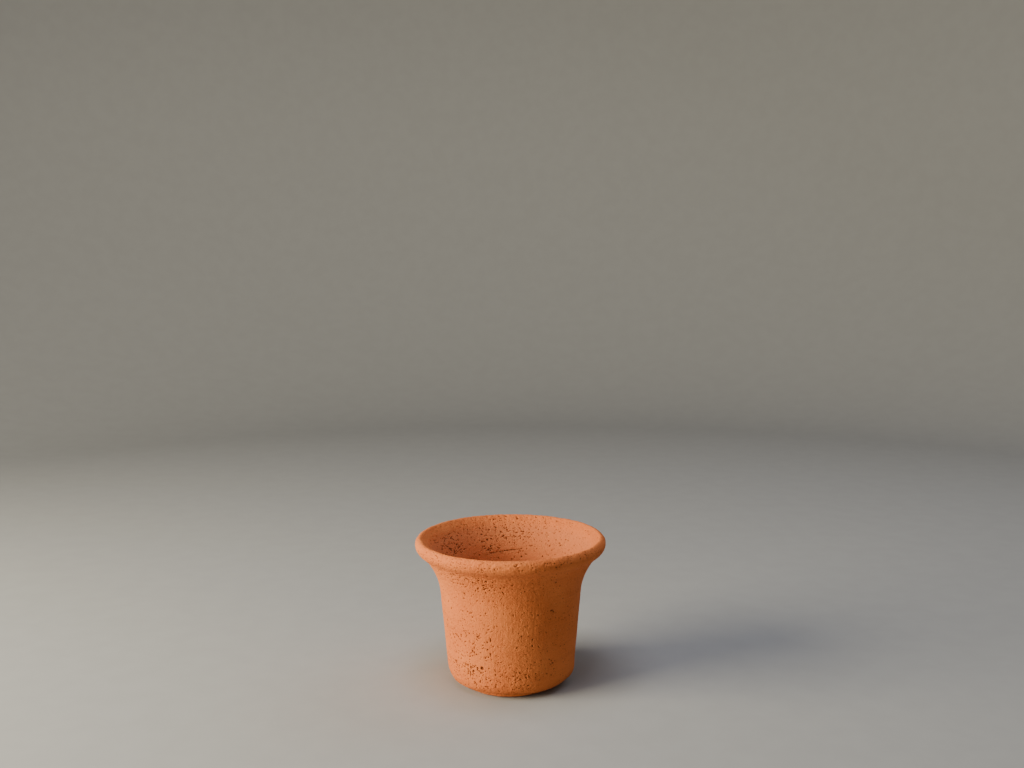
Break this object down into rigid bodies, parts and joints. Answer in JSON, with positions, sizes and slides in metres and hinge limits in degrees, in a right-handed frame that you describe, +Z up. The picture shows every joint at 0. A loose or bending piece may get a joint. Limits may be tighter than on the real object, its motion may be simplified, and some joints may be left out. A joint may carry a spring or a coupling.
{
  "type": "flower pot",
  "caption": "Small thrown terracotta flowerpot with a gently tapered body, a flared mouth ending in a rolled bead, a rounded foot and a drain hole in the floor.",
  "frame": {"origin": "centre of the pot's underside, on the plane it stands on", "axes": "+Z up along the pot's axis; the pot is a solid of revolution, so +X and +Y are free"},
  "size_m": [0.12, 0.12, 0.093],
  "materials": {
    "terracotta": "matte"
  },
  "bodies": {
    "root": {"pot": "terracotta"}
  },
  "joints": []
}
